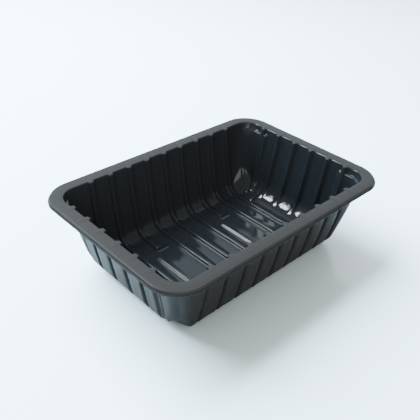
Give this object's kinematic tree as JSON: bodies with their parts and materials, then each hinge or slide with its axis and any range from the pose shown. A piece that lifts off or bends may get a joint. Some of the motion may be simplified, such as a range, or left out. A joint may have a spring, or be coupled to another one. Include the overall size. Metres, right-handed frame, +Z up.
{
  "type": "plastic food tray",
  "caption": "Shallow rectangular thermoformed food tray with a flat flange, fluted sloping walls and a ribbed floor.",
  "frame": {"origin": "under the middle of the tray, level with the edges of the floor that it stands on", "axes": "+X along the tray, +Y across it, +Z up towards the open mouth"},
  "size_m": [0.195, 0.135, 0.054],
  "materials": {
    "tray": "black formed plastic sheet, matt on the flange and glossy inside and outside the walls"
  },
  "bodies": {
    "root": {"tray": "tray"}
  },
  "joints": []
}
